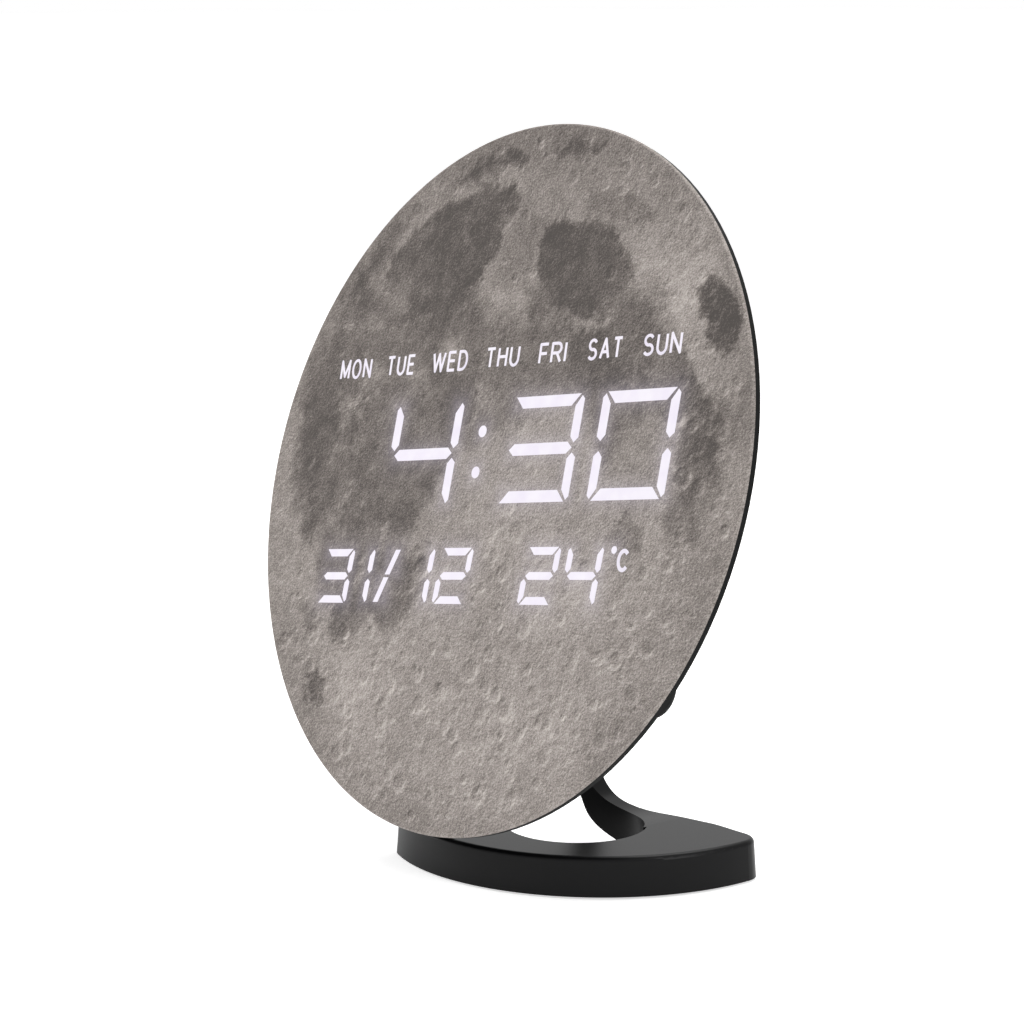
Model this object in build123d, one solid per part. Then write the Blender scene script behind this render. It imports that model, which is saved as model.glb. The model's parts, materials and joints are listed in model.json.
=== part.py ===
"""Moon-face LED desk clock: a leaning round head on a crescent foot with a rising neck."""
from build123d import *
import math
import os

# Overall form, millimetres and degrees
face_radius = 125.0
face_height = 138.2
face_lean = 17.6
face_turn = 8.7
fit_gap = 0.05

# Front panel and rear shell of the head
panel_thickness = 2.4
panel_lip = 1.0
panel_step = 1.5
panel_round = 0.5
rim_setback = 0.3
rim_depth = 3.4
shell_depth = 14.0
shell_back_radius = 103.0
shell_wall = 2.0
shell_ledge = 2.5

# Display stack behind the panel
film_thickness = 0.4
film_margin = 8.2
block_thickness = 5.6
block_height = 100.0
board_thickness = 1.6
display_clearance = 1.1
led_length = 1.6
led_width = 0.8
led_height = 0.6
time_row = 8.5
hours_column = -62.0
minutes_column = 47.6
time_pitch = 46.0
time_width = 33.0
time_height = 32.7
time_stroke = 4.2
colon_column = -7.5
colon_offset = 7.5
colon_radius = 2.2
date_row = -35.1
day_column = -78.0
day_bar_column = -59.0
month_bar_column = -25.3
month_column = -12.0
warmth_column = 43.5
warmth_pitch = 21.0
slash_column = -48.5
slash_run = 9.0
date_width = 14.4
date_height = 16.8
date_stroke = 2.6
digit_slant = 0.05
segment_gap = 1.0
weekday_row = 43.0
weekday_pitch = 27.1
weekday_count = 7
weekday_width = 21.0
weekday_height = 8.0
shell_screw_edge = 10.0
shell_screw_column = 60.0
shell_screw_shift = 8.0
shell_screw_low = -17.3
shell_screw_high = 32.6
shell_post_radius = 4.0

# Rear housing and its boards
housing_width = 145.6
housing_bottom = -77.6
housing_top = 52.0
housing_corner = 10.0
housing_wall = 2.2
housing_floor = 1.6
housing_depth = 16.5
cover_thickness = 2.0
cover_round = 1.4
cover_post_inset = 7.4
cover_post_radius = 4.0
header_length = 40.0
header_width = 5.0
header_rise = 16.0
header_clearance = 2.0
main_board_width = 110.0
main_board_height = 100.0
main_board_row = -6.0
main_board_standoff = 3.0
main_post_inset = 5.0
main_post_radius = 3.5
housing_screw_column = 36.0
housing_screw_inset = 11.8
screw_radius = 1.45
screw_hole_radius = 1.5
screw_head_radius = 2.8
screw_head_height = 1.6
thread_depth = 4.0
vent_count = 5
vent_width = 2.0
vent_length = 9.0
vent_pitch = 5.0
sound_hole_radius = 0.9
sound_hole_ring = 3.2
sound_hole_count = 6

# Parts on the main board
switch_side = 6.0
switch_height = 3.5
switch_plunger_radius = 1.7
switch_plunger_height = 0.8
buzzer_radius = 6.0
buzzer_height = 7.0
buzzer_column = -36.0
buzzer_rise = 12.0
cell_radius = 10.0
cell_thickness = 3.2
cell_floor = 1.2
cell_ring = 2.2
cell_column = -36.0
cell_rise = 20.0
chip_side = 9.0
chip_height = 1.4
chip_column = 34.0
chip_spread = 22.0
chip_rise = 17.0
probe_side = 4.0
probe_base = 1.2
probe_radius = 1.3
probe_height = 3.0
probe_rise = 3.0
socket_inset = 11.0
socket_rise = 10.0
socket_width = 9.4
socket_height = 3.9
socket_wall = 0.4
socket_depth = 7.0
socket_tongue = 0.9

# Buttons on the back
button_drop = 7.0
button_pitch = 24.0
button_radius = 4.6
button_clearance = 0.08
button_flange = 1.0
button_flange_thickness = 1.0
button_stand = 1.6
button_round = 0.6
button_travel = 1.2
button_stem_radius = 1.6

# Friction hub between head and neck
hub_plate_radius = 24.0
hub_plate_thickness = 2.5
hub_flange_radius = 22.0
hub_flange_thickness = 3.0
hub_spigot_radius = 10.0
hub_screw_ring = 15.5
hub_screw_count = 3
washer_thickness = 0.45
washer_play = 0.05
hub_clearance = 0.6
eye_radius = 18.0
eye_thickness = 10.0
retainer_radius = 16.0
retainer_thickness = 1.0
bolt_radius = 3.0
bolt_head_radius = 5.5
bolt_head_height = 3.5
bolt_socket_radius = 2.6
bolt_socket_depth = 2.0
cap_wall = 1.5
cap_depth = 7.0
cap_round = 2.0

# Half-moon foot and rising neck
foot_radius = 74.8
foot_centre_y = 49.6
foot_height = 14.6
foot_draft = 4.0
foot_lift = 0.8
foot_round = 1.8
foot_back_y = 63.0
foot_corner = 9.0
left_end_bearing = 241.5
left_end_turn = 70.0
opening_x = 19.0
opening_y = 23.6
opening_radius = 24.0
bay_x = 19.0
bay_y = 50.5
bay_radius = 46.0
wing_x = 36.0
wing_root_x = 4.0
wing_root_y = 49.4
wing_cut_x = -8.0
horn_round = 8.0
notch_round = 2.5
neck_rise_x = 38.0
neck_root_x = 21.0
neck_top_z = 113.0
neck_top_half_width = 9.0
neck_front_y = 38.0
neck_front_z = 19.0
neck_back_y = 49.6
neck_back_z = 24.0
neck_top_front_y = 30.0
neck_top_back_y = 40.5
neck_cut_top = 34.0

# Underside of the foot
pocket_wall = 4.0
pocket_depth = 8.0
cover_gap = 0.15
foot_cover_thickness = 2.0
ballast_inset = 6.0
foot_screw_places = ((-8.0, -13.0), (46.0, 6.0), (62.0, 44.0))
foot_screw_length = 10.5
pad_radius = 4.5
pad_thickness = 1.6
pad_places = ((-22.0, -7.0), (-17.0, 9.0), (34.0, -6.0), (61.0, 28.0), (50.0, 51.5))

# Depths of the stack, along the face's normal with the front face at zero
film_front = -panel_thickness
block_front = film_front - film_thickness
led_board_front = block_front - block_thickness
led_board_back = led_board_front - board_thickness
shell_inner = -shell_depth + shell_wall
housing_front = -shell_depth
housing_inner = housing_front - housing_floor
housing_back = housing_front - housing_depth
cover_back = housing_back - cover_thickness
main_front = housing_inner - main_board_standoff
main_back = main_front - board_thickness
flange_back = cover_back - hub_flange_thickness
eye_front = flange_back - washer_thickness - washer_play
eye_back = eye_front - eye_thickness
spigot_end = eye_back - washer_play
retainer_back = spigot_end - retainer_thickness
housing_middle = (housing_top + housing_bottom) / 2
housing_height = housing_top - housing_bottom
display_rim = face_radius - panel_step + fit_gap - shell_ledge
main_board_bottom = main_board_row - main_board_height / 2
main_board_top = main_board_row + main_board_height / 2
header_row = main_board_bottom + header_rise
probe_row = main_board_bottom + probe_rise
button_row = main_board_top - button_drop
buzzer_place = (buzzer_column, main_board_row + buzzer_rise)
cell_place = (cell_column, main_board_bottom + cell_rise)
socket_place = (main_board_width / 2 - socket_inset, main_board_bottom + socket_rise)
chip_places = (
    (chip_column, main_board_bottom + chip_rise),
    (chip_column - chip_spread, main_board_bottom + chip_rise),
    (chip_column, main_board_bottom + chip_rise + chip_spread),
)
button_columns = [button_pitch * (i - 1.5) for i in range(4)]
cover_post_places = [
    (side * (housing_width / 2 - cover_post_inset), row)
    for side in (-1, 1)
    for row in (housing_bottom + cover_post_inset, housing_top - cover_post_inset)
]
main_post_places = [
    (side * (main_board_width / 2 - main_post_inset), main_board_row + end * (main_board_height / 2 - main_post_inset))
    for side in (-1, 1)
    for end in (-1, 1)
]
housing_screw_places = [
    (side * housing_screw_column, row)
    for side in (-1, 1)
    for row in (housing_bottom + housing_screw_inset, housing_top - housing_screw_inset)
]
hub_screw_places = [
    (hub_screw_ring * math.cos(2 * math.pi * i / hub_screw_count + math.pi / 2),
     hub_screw_ring * math.sin(2 * math.pi * i / hub_screw_count + math.pi / 2))
    for i in range(hub_screw_count)
]


def shell_inside(depth):
    """The radius of the shell's sloping inner wall at a depth."""
    share = (depth + panel_thickness) / (shell_inner + panel_thickness)
    return display_rim + share * (shell_back_radius - shell_wall - display_rim)


film_radius = shell_inside(block_front) - film_margin
block_radius = shell_inside(led_board_front) - display_clearance
led_board_radius = shell_inside(led_board_back) - display_clearance
shell_screw_places = [
    (side * (led_board_radius - shell_screw_edge), shell_screw_low) for side in (-1, 1)
] + [(0, shell_screw_low), (shell_screw_shift, shell_screw_high)] + [
    (side * shell_screw_column, shell_screw_high) for side in (-1, 1)
]


def rod(place, radius, start, end):
    """A round solid along the face's normal between two depths."""
    low, high = min(start, end), max(start, end)
    return Pos(place[0], place[1], (low + high) / 2) * Cylinder(radius, high - low)


def slab(place, width, height, start, end, corner=0.0):
    """A rectangular solid between two depths, with rounded corners where asked."""
    low, high = min(start, end), max(start, end)
    outline = RectangleRounded(width, height, corner) if corner else Rectangle(width, height)
    return Pos(place[0], place[1], low) * extrude(outline, high - low)


def turned(profile):
    """Revolve a radius and depth outline about the face's normal."""
    wire = Polyline(*[(r, 0, z) for r, z in profile], close=True)
    return revolve(make_face(wire), Axis.Z)


def countersunk(place, head_face, end):
    """A flat-head screw: its cone sinks in from the head face."""
    inward = 1 if end > head_face else -1
    cone_height = screw_head_radius - screw_radius
    cone = Pos(place[0], place[1], head_face + inward * cone_height / 2) * Cone(
        screw_head_radius if inward > 0 else screw_radius,
        screw_radius if inward > 0 else screw_head_radius,
        cone_height,
    )
    return cone + rod(place, screw_radius, head_face, end)


def countersink(place, head_face, end):
    """The hole that takes such a screw."""
    inward = 1 if end > head_face else -1
    grow = screw_hole_radius - screw_radius
    cone_height = screw_head_radius - screw_radius
    cone = Pos(place[0], place[1], head_face + inward * cone_height / 2) * Cone(
        (screw_head_radius if inward > 0 else screw_radius) + grow,
        (screw_radius if inward > 0 else screw_head_radius) + grow,
        cone_height,
    )
    return cone + rod(place, screw_hole_radius, head_face, end)


def pan_screw(place, seat, end):
    """A round-head screw that seats on a face and reaches forward."""
    return rod(place, screw_head_radius, seat - screw_head_height, seat) + rod(place, screw_radius, seat, end)


def segment_outlines(column, row, width, height, stroke):
    """The seven bars of one digit as (centre, face) pairs, sheared to the digit's slant."""
    half = stroke / 2
    bars = []
    for level in (1, 0, -1):
        reach = width / 2 - segment_gap
        y = level * height / 2
        points = ((-reach, y), (-reach + half, y + half), (reach - half, y + half),
                  (reach, y), (reach - half, y - half), (-reach + half, y - half))
        bars.append(((0, y), points))
    for side in (-1, 1):
        for level in (-1, 1):
            x = side * width / 2
            start, end = sorted((level * segment_gap, level * (height / 2 - segment_gap)))
            points = ((x, start), (x + half, start + half), (x + half, end - half),
                      (x, end), (x - half, end - half), (x - half, start + half))
            bars.append(((x, (start + end) / 2), points))
    placed = []
    for centre, points in bars:
        shear = [(column + x + digit_slant * y, row + y) for x, y in (centre, *points)]
        placed.append((shear[0], make_face(Polyline(*shear[1:], close=True))))
    return placed


def sheared_bar(column, row, run, length, stroke):
    """One upright or leaning bar with pointed ends, as a (centre, face) pair."""
    half = stroke / 2
    points = ((0, -length / 2), (half, half - length / 2), (half, length / 2 - half),
              (0, length / 2), (-half, length / 2 - half), (-half, half - length / 2))
    lean = run / length
    return (column, row), make_face(Polyline(*[(column + x + lean * y, row + y) for x, y in points], close=True))


def display_windows():
    """All the light wells of the display as (centre, face) pairs."""
    wells = []
    for column in (hours_column, minutes_column):
        for side in (-1, 1):
            wells += segment_outlines(column + side * time_pitch / 2, time_row, time_width, time_height, time_stroke)
    for column in (day_column, month_column, warmth_column - warmth_pitch / 2, warmth_column + warmth_pitch / 2):
        wells += segment_outlines(column, date_row, date_width, date_height, date_stroke)
    half_bar = date_height / 2
    for level in (-1, 1):
        row = date_row + level * half_bar / 2
        for column in (day_bar_column, month_bar_column):
            wells.append(sheared_bar(column, row, digit_slant * half_bar, half_bar - segment_gap, date_stroke))
        wells.append(sheared_bar(slash_column + level * slash_run / 4, row, slash_run / 2, half_bar - segment_gap, date_stroke))
    for side in (-1, 1):
        place = (colon_column + digit_slant * side * colon_offset, time_row + side * colon_offset)
        wells.append((place, Pos(*place) * Circle(colon_radius)))
    for i in range(weekday_count):
        place = ((i - (weekday_count - 1) / 2) * weekday_pitch, weekday_row)
        wells.append((place, Pos(*place) * Rectangle(weekday_width, weekday_height)))
    return wells


windows = display_windows()


def front_panel():
    inner = face_radius - panel_step
    panel = turned(((0, 0), (face_radius - panel_round, 0), (face_radius, -panel_round), (face_radius, -panel_lip),
                    (inner, -panel_lip), (inner, -panel_thickness), (0, -panel_thickness)))
    return panel


def diffuser_film():
    return rod((0, 0), film_radius, film_front, block_front)


def display_plate(radius, front, back):
    """A round plate cut to the display's height."""
    disc = rod((0, 0), radius, front, back)
    return disc & slab((0, 0), 2 * radius, block_height, front, back)


def light_block():
    block = display_plate(block_radius, block_front, led_board_front)
    wells = [Pos(0, 0, led_board_front) * extrude(face, block_thickness) for _, face in windows]
    holes = [rod(place, screw_hole_radius, led_board_front, led_board_front + thread_depth)
             for place in shell_screw_places]
    return block - wells - holes


def led_board():
    board = display_plate(led_board_radius, led_board_front, led_board_back)
    return board - [rod(place, screw_hole_radius, led_board_front, led_board_back) for place in shell_screw_places]


def segment_leds():
    return [slab(centre, led_length, led_width, led_board_front, led_board_front + led_height) for centre, _ in windows]


def rear_shell():
    rim = face_radius - rim_setback
    seat = face_radius - panel_step + fit_gap
    shell = turned(((0, -shell_depth), (shell_back_radius, -shell_depth), (rim, -rim_depth), (rim, -panel_lip),
                    (seat, -panel_lip), (seat, -panel_thickness), (seat - shell_ledge, -panel_thickness),
                    (shell_back_radius - shell_wall, shell_inner), (0, shell_inner)))
    posts = [rod(place, shell_post_radius, shell_inner, led_board_back) for place in shell_screw_places]
    holes = [countersink(place, -shell_depth, led_board_back) for place in shell_screw_places]
    holes += [rod(place, screw_hole_radius, -shell_depth, shell_inner) for place in housing_screw_places]
    return shell + posts - holes - header_way(-shell_depth, shell_inner)


def header_way(start, end):
    """The slot that lets the board-to-board header through a wall."""
    return slab((0, header_row), header_length + 2 * header_clearance, header_width + 2 * header_clearance, start, end)


def shell_screws():
    return [countersunk(place, -shell_depth, led_board_front + thread_depth - fit_gap) for place in shell_screw_places]


def rear_housing():
    tray = slab((0, housing_middle), housing_width, housing_height, housing_back, housing_front, housing_corner)
    hollow = slab((0, housing_middle), housing_width - 2 * housing_wall, housing_height - 2 * housing_wall,
                  housing_back, housing_inner, housing_corner - housing_wall)
    tray = tray - hollow
    tray += [rod(place, cover_post_radius, housing_inner, housing_back) for place in cover_post_places]
    tray += [rod(place, main_post_radius, housing_inner, main_front) for place in main_post_places]
    holes = [rod(place, screw_hole_radius, housing_back, housing_inner - fit_gap) for place in cover_post_places]
    holes += [rod(place, screw_hole_radius, main_front, housing_front - fit_gap) for place in main_post_places]
    holes += [rod(place, screw_hole_radius, housing_front, housing_inner) for place in housing_screw_places]
    vent_depth = (housing_inner + housing_back) / 2
    for i in range(vent_count):
        place = ((i - (vent_count - 1) / 2) * vent_pitch, housing_bottom + housing_wall / 2)
        holes.append(slab(place, vent_width, 2 * housing_wall, vent_depth - vent_length / 2, vent_depth + vent_length / 2))
    return tray - holes - header_way(housing_front, housing_inner)


def housing_screws():
    return [pan_screw(place, housing_inner, shell_inner) for place in housing_screw_places]


def main_board():
    board = slab((0, main_board_row), main_board_width, main_board_height, main_back, main_front)
    return board - [rod(place, screw_hole_radius, main_back, main_front) for place in main_post_places]


def board_screws():
    return [pan_screw(place, main_back, main_back + thread_depth) for place in main_post_places]


def board_header():
    return slab((0, header_row), header_length, header_width, led_board_back, main_front)


def board_chips():
    return [slab(place, chip_side, chip_side, main_back, main_back - chip_height) for place in chip_places]


def tact_switches():
    switches = []
    for column in button_columns:
        body = slab((column, button_row), switch_side, switch_side, main_back, main_back - switch_height)
        top = main_back - switch_height
        switches.append(body + rod((column, button_row), switch_plunger_radius, top, top - switch_plunger_height))
    return switches


def buzzer():
    top = main_back - buzzer_height
    sound_port = rod(buzzer_place, sound_hole_radius, top, top + buzzer_height / 2)
    return rod(buzzer_place, buzzer_radius, main_back, top) - sound_port


def coin_holder():
    top = main_back - cell_floor - cell_thickness
    ring = rod(cell_place, cell_radius + cell_ring, main_back, top)
    return ring - rod(cell_place, cell_radius + fit_gap, main_back - cell_floor, top)


def coin_cell():
    return rod(cell_place, cell_radius, main_back - cell_floor, main_back - cell_floor - cell_thickness)


def temperature_probe():
    base = slab((0, probe_row), probe_side, probe_side, main_back, main_back - probe_base)
    return base + rod((0, probe_row), probe_radius, main_back - probe_base, main_back - probe_base - probe_height)


def power_socket():
    body = slab(socket_place, socket_width, socket_height, cover_back, main_back, socket_height / 2 - fit_gap)
    mouth_height = socket_height - 2 * socket_wall
    mouth = slab(socket_place, socket_width - 2 * socket_wall, mouth_height, cover_back, cover_back + socket_depth,
                 mouth_height / 2 - fit_gap)
    tongue = slab(socket_place, socket_width - 3 * socket_height / 4, socket_tongue, cover_back + socket_depth / 5,
                  cover_back + socket_depth)
    return body - mouth + tongue


def back_cover():
    cover = slab((0, housing_middle), housing_width, housing_height, cover_back, housing_back, housing_corner)
    cover = fillet(cover.faces().sort_by(Axis.Z)[0].outer_wire().edges(), cover_round)
    holes = [countersink(place, cover_back, housing_back) for place in cover_post_places]
    for column in button_columns:
        holes.append(rod((column, button_row), button_radius + button_clearance, cover_back, housing_back))
    holes.append(slab(socket_place, socket_width + 2 * fit_gap, socket_height + 2 * fit_gap, cover_back, housing_back,
                      socket_height / 2))
    holes.append(rod((0, 0), bolt_radius + fit_gap, cover_back, housing_back))
    holes += [rod(place, screw_hole_radius, cover_back, housing_back) for place in hub_screw_places]
    for i in range(sound_hole_count):
        turn = 2 * math.pi * i / sound_hole_count
        place = (buzzer_place[0] + sound_hole_ring * math.cos(turn), buzzer_place[1] + sound_hole_ring * math.sin(turn))
        holes.append(rod(place, sound_hole_radius, cover_back, housing_back))
    return cover - holes


def cover_screws():
    return [countersunk(place, cover_back, housing_inner - thread_depth) for place in cover_post_places]


def button(column):
    """A flanged cap that slides in the cover, with a stem over its switch."""
    place = (column, button_row)
    cap = rod(place, button_radius, cover_back - button_stand, housing_back)
    cap = fillet(cap.edges().group_by(Axis.Z)[0], button_round)
    flange_end = housing_back + button_flange_thickness
    flange = rod(place, button_radius + button_flange, housing_back, flange_end)
    stem_end = main_back - switch_height - switch_plunger_height - button_travel - 2 * fit_gap
    return cap + flange + rod(place, button_stem_radius, flange_end, stem_end)


def hub_plate():
    plate = rod((0, 0), hub_plate_radius, housing_back, housing_back + hub_plate_thickness)
    holes = [rod(place, screw_hole_radius, housing_back, housing_back + hub_plate_thickness)
             for place in hub_screw_places]
    return plate - holes - rod((0, 0), bolt_radius + fit_gap, housing_back, housing_back + hub_plate_thickness)


def head_hub():
    hub = rod((0, 0), hub_flange_radius, flange_back, cover_back) + rod((0, 0), hub_spigot_radius, spigot_end, flange_back)
    holes = [countersink(place, flange_back, cover_back) for place in hub_screw_places]
    return hub - holes - rod((0, 0), bolt_radius + fit_gap, spigot_end, cover_back)


def hub_screws():
    return [countersunk(place, flange_back, housing_back + hub_plate_thickness) for place in hub_screw_places]


def friction_washer():
    ring = rod((0, 0), eye_radius, flange_back, flange_back - washer_thickness)
    return ring - rod((0, 0), hub_spigot_radius + fit_gap, flange_back, flange_back - washer_thickness)


def spring_washer():
    ring = rod((0, 0), retainer_radius, spigot_end, retainer_back)
    return ring - rod((0, 0), bolt_radius + fit_gap, spigot_end, retainer_back)


def hub_bolt():
    head_end = retainer_back - bolt_head_height
    bolt = rod((0, 0), bolt_head_radius, retainer_back, head_end)
    bolt += rod((0, 0), bolt_radius, retainer_back, housing_back + hub_plate_thickness)
    drive = Pos(0, 0, head_end) * extrude(RegularPolygon(bolt_socket_radius, 6), bolt_socket_depth)
    return bolt - drive


def hub_cap():
    cap = rod((0, 0), eye_radius, eye_back, eye_back - cap_depth)
    cap = fillet(cap.edges().group_by(Axis.Z)[0], cap_round)
    return cap - rod((0, 0), eye_radius - cap_wall, eye_back, eye_back - cap_depth + cap_wall)


left_end = (foot_radius * math.cos(math.radians(left_end_bearing)),
            foot_centre_y + foot_radius * math.sin(math.radians(left_end_bearing)))


def foot_plan(inset):
    """The half-moon foot seen from above, drawn in from every edge by an inset."""
    disc = Pos(0, foot_centre_y) * Circle(foot_radius - inset)
    reach = 2 * foot_radius
    behind = Pos(0, foot_back_y - inset + reach / 2) * Rectangle(2 * reach, reach)
    beyond = Pos(*left_end) * Rot(0, 0, left_end_turn) * Pos(0, reach / 2 - inset) * Rectangle(2 * reach, reach)
    opening = Pos(opening_x, opening_y) * Circle(opening_radius + inset)
    bay = Pos(bay_x, bay_y) * Circle(bay_radius + inset)
    left_of_wing = Pos(wing_x + inset - reach / 2, bay_y) * Rectangle(reach, 2 * reach)
    return disc - behind - beyond - opening - (bay & left_of_wing)


def along(start, end, shares):
    """Points set by their share of the way between two points, across and up."""
    return [(start[0] + across * (end[0] - start[0]), start[1] + up * (end[1] - start[1])) for across, up in shares]


def wing_behind():
    """The plan of everything behind the wing's back edge, which draws in towards the neck."""
    tip, root = (foot_radius, foot_back_y), (wing_root_x, wing_root_y)
    edge = Spline(tip, *along(tip, root, ((0.22, 0.05), (0.41, 0.24), (0.63, 0.46), (0.82, 0.68))), root)
    far = 2 * foot_radius
    outline = edge + Polyline(root, (wing_cut_x, wing_root_y), (wing_cut_x, far), (foot_radius, far), tip)
    return make_face(outline)


def pocket_plan(inset):
    """The foot's plan drawn in by an inset, also from the wing's back edge."""
    return foot_plan(inset) - Pos(0, -inset) * wing_behind()


def neck():
    """The band that leaves the wing and rises behind the head, cut from its front and side outlines."""
    root, rise = (neck_root_x, foot_lift), (neck_rise_x, foot_height)
    top_left, top_right = (-neck_top_half_width, neck_top_z), (neck_top_half_width, neck_top_z)
    under = along(root, top_left, ((0.22, 0.017), (0.467, 0.053), (0.587, 0.098), (0.66, 0.167), (0.80, 0.24),
                                   (0.95, 0.37), (1.0, 0.7)))
    over = along(rise, top_right, ((0.755, 0.004), (1.01, 0.031), (1.159, 0.08), (1.27, 0.2), (1.2, 0.5)))
    front_outline = Spline(root, *under, top_left) + Polyline(top_left, top_right)
    front_outline += Spline(rise, *over, top_right, tangents=((-1, 0), (0.3, 1)))
    front_outline += Polyline(rise, (neck_rise_x, foot_lift), root)
    front_view = extrude(Plane.XZ * make_face(front_outline), -2 * foot_back_y)
    front, front_top = (neck_front_y, neck_front_z), (neck_top_front_y, neck_top_z)
    back, back_top = (neck_back_y, neck_back_z), (neck_top_back_y, neck_top_z)
    front_shares = ((-0.31, 0.117), (-0.12, 0.245), (0.25, 0.383), (0.81, 0.702))
    side_outline = Spline(front, *along(front, front_top, front_shares), front_top)
    side_outline += Polyline(front_top, back_top)
    side_outline += Spline(back, *along(back, back_top, ((0.23, 0.29), (0.67, 0.685))), back_top)
    side_outline += Polyline(back, (foot_back_y, neck_back_z), (foot_back_y, 0), (opening_y, 0),
                             (opening_y, neck_front_z), front)
    side_view = Pos(-foot_radius, 0, 0) * extrude(Plane.YZ * make_face(side_outline), 2 * foot_radius)
    band = front_view & side_view
    band -= Pos(opening_x, opening_y, neck_cut_top / 2) * Cylinder(opening_radius, neck_cut_top)
    return band - extrude(wing_behind(), neck_back_z)


def foot_solid(inset, start, end):
    """A level slice of the foot's pocket between two heights."""
    return Pos(0, 0, start) * extrude(pocket_plan(inset), end - start)


def foot_hole(place, radius, end):
    """An upright round solid from the table to a height."""
    return rod(place, radius, 0, end)


cover_top = foot_lift + foot_cover_thickness
pocket_top = foot_lift + pocket_depth


def stand():
    """Foot, neck and hub eye in one casting, with a pocket below for the ballast."""
    plan = foot_plan(0)
    corners = plan.vertices()
    notch = min(corners, key=lambda corner: math.dist((corner.X, corner.Y), (opening_x - opening_radius, opening_y)))
    plan = fillet([notch], notch_round)
    corners = plan.vertices()
    horn = min([corner for corner in corners if corner.Y > opening_y], key=lambda corner: corner.X)
    plan = fillet([horn], horn_round)
    corners = plan.vertices()
    ends = [min(corners, key=lambda corner: math.dist((corner.X, corner.Y), left_end))]
    ends += [corner for corner in corners if corner.X > foot_radius - foot_corner and corner.Y > foot_centre_y]
    plan = fillet(ends, foot_corner)
    plate = Pos(0, 0, foot_lift) * extrude(plan, foot_height - foot_lift, taper=foot_draft)
    rim = [edge for edge in plate.edges().filter_by(GeomType.CIRCLE)
           if edge.radius > foot_radius - foot_round and edge.center().Z > foot_height - fit_gap]
    plate = fillet(rim, foot_round)
    body = plate - extrude(wing_behind(), foot_height) + neck()
    eye = HEAD * rod((0, 0), eye_radius, eye_front, eye_back)
    bore = HEAD * rod((0, 0), hub_spigot_radius + fit_gap, flange_back, eye_back - cap_depth)
    clear_front = HEAD * rod((0, 0), hub_flange_radius + hub_clearance, cover_back, eye_front)
    clear_back = HEAD * rod((0, 0), eye_radius + hub_clearance, eye_back, eye_back - 2 * cap_depth)
    body = body - clear_front - clear_back + eye - bore
    body -= foot_solid(pocket_wall, foot_lift, pocket_top)
    return body - [foot_hole(place, screw_hole_radius, foot_lift + foot_screw_length) for place in foot_screw_places]


def ballast_plate():
    plate = foot_solid(ballast_inset, cover_top, pocket_top)
    return plate - [foot_hole(place, screw_hole_radius, pocket_top) for place in foot_screw_places]


def foot_cover():
    cover = foot_solid(pocket_wall + cover_gap, foot_lift, cover_top)
    seats = [foot_hole(place, pad_radius, pad_thickness) for place in pad_places]
    return cover - seats - [countersink(place, foot_lift, cover_top) for place in foot_screw_places]


def foot_screws():
    return [countersunk(place, foot_lift, foot_lift + foot_screw_length - fit_gap) for place in foot_screw_places]


def rubber_pads():
    return [foot_hole(place, pad_radius, pad_thickness) for place in pad_places]


LEVEL_HEAD = Pos(0, 0, face_height) * Rot(90 - face_lean, 0, 0)
HEAD = LEVEL_HEAD * Rot(0, 0, face_turn)

head_pieces = {
    "front_panel": front_panel(), "diffuser_film": diffuser_film(), "light_block": light_block(),
    "led_board": led_board(), "segment_leds": segment_leds(), "rear_shell": rear_shell(),
    "shell_screws": shell_screws(), "rear_housing": rear_housing(), "housing_screws": housing_screws(),
    "main_board": main_board(), "board_screws": board_screws(), "board_header": board_header(),
    "board_chips": board_chips(), "tact_switches": tact_switches(), "buzzer": buzzer(),
    "coin_holder": coin_holder(), "coin_cell": coin_cell(), "temperature_probe": temperature_probe(),
    "power_socket": power_socket(), "back_cover": back_cover(), "cover_screws": cover_screws(),
    "hub_plate": hub_plate(), "head_hub": head_hub(), "hub_screws": hub_screws(),
    "friction_washer": friction_washer(), "spring_washer": spring_washer(), "hub_bolt": hub_bolt(),
    "hub_cap": hub_cap(),
}
for name, column in zip(("mode_button", "set_button", "up_button", "down_button"), button_columns):
    head_pieces[name] = button(column)

stand_pieces = {
    "stand": stand(), "ballast_plate": ballast_plate(), "foot_cover": foot_cover(),
    "foot_screws": foot_screws(), "rubber_pads": rubber_pads(),
}


def solids_of(piece):
    """The separate solids of a piece or of a group."""
    return [solid for item in (piece if isinstance(piece, list) else [piece]) for solid in item.solids()]


pieces = {name: [HEAD * solid for solid in solids_of(piece)] for name, piece in head_pieces.items()}
pieces.update({name: solids_of(piece) for name, piece in stand_pieces.items()})

# The origin is on the table, in the middle of the clock's own box
boxes = [solid.bounding_box() for solids in pieces.values() for solid in solids]
middle_x = (min(box.min.X for box in boxes) + max(box.max.X for box in boxes)) / 2
middle_y = (min(box.min.Y for box in boxes) + max(box.max.Y for box in boxes)) / 2
print("origin shift", round(middle_x, 4), round(middle_y, 4))

os.makedirs("parts", exist_ok=True)
for name, solids in pieces.items():
    moved = [Pos(-middle_x, -middle_y, 0) * solid for solid in solids]
    export_step(moved[0] if len(moved) == 1 else Compound(moved), f"parts/{name}.step")
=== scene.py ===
import json
import math

import bmesh
import bpy
import numpy as np
from mathutils import Matrix, Vector


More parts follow.
